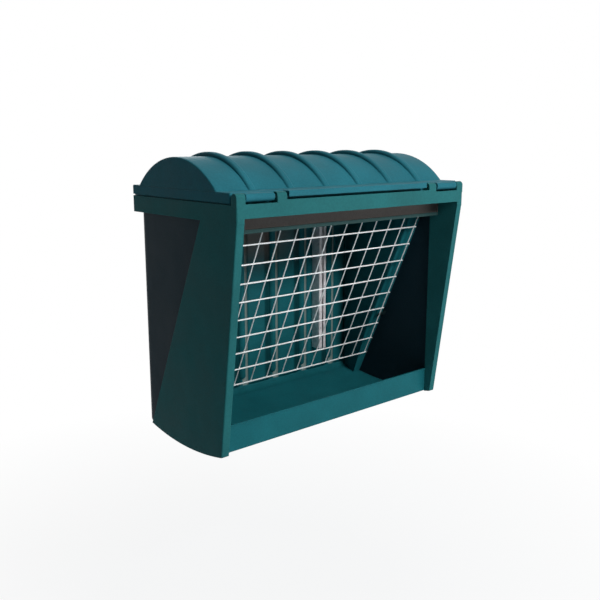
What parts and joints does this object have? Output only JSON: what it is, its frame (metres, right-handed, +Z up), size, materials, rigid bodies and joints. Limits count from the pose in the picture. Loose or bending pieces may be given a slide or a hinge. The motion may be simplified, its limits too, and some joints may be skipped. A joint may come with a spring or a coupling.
{
  "type": "hay feeder",
  "caption": "Green hang-on hay feeder with ribbed hinged barrel lid, welded wire hay grid, catch trough and gate hooks.",
  "frame": {"origin": "middle of the gate rail that the two hooks hang on", "axes": "+X along the feeder, +Y from the feeding side to the gate, +Z up"},
  "size_m": [0.684, 0.454, 0.6359],
  "materials": {
    "frame_plastic": "satin",
    "hopper_plastic": "satin",
    "lid_plastic": "satin",
    "rail_plastic": "satin",
    "clip_plastic": "satin",
    "galvanised_wire": "satin",
    "galvanised_sheet": "satin",
    "galvanised_bar": "satin",
    "zinc_fastener": "satin"
  },
  "bodies": {
    "feeder": {"outer_frame": "frame_plastic", "hopper_tub": "hopper_plastic", "grid_rail": "rail_plastic", "grid_cross_wires": "galvanised_wire", "grid_upright_wires": "galvanised_wire", "grid_top_clips": "clip_plastic", "grid_side_clips": "clip_plastic", "hinge_pin_left": "zinc_fastener", "hinge_pin_right": "zinc_fastener", "hanger_channel_left": "galvanised_sheet", "hanger_channel_right": "galvanised_sheet", "gate_hook_left": "galvanised_bar", "gate_hook_right": "galvanised_bar", "hanger_bolts": "zinc_fastener", "hanger_spacers": "clip_plastic", "hanger_washers": "zinc_fastener", "hanger_nuts": "zinc_fastener", "top_clip_screws": "zinc_fastener", "side_clip_screws": "zinc_fastener", "rail_screws": "zinc_fastener", "rim_screws": "zinc_fastener"},
    "lid": {"lid": "lid_plastic"}
  },
  "joints": [
    {"name": "lid_hinge", "type": "hinge", "parent": "feeder", "child": "lid", "pos_m": [0, -0.4085, 0.0375], "axis": [1, 0, 0], "range_deg": [0, 95]}
  ]
}
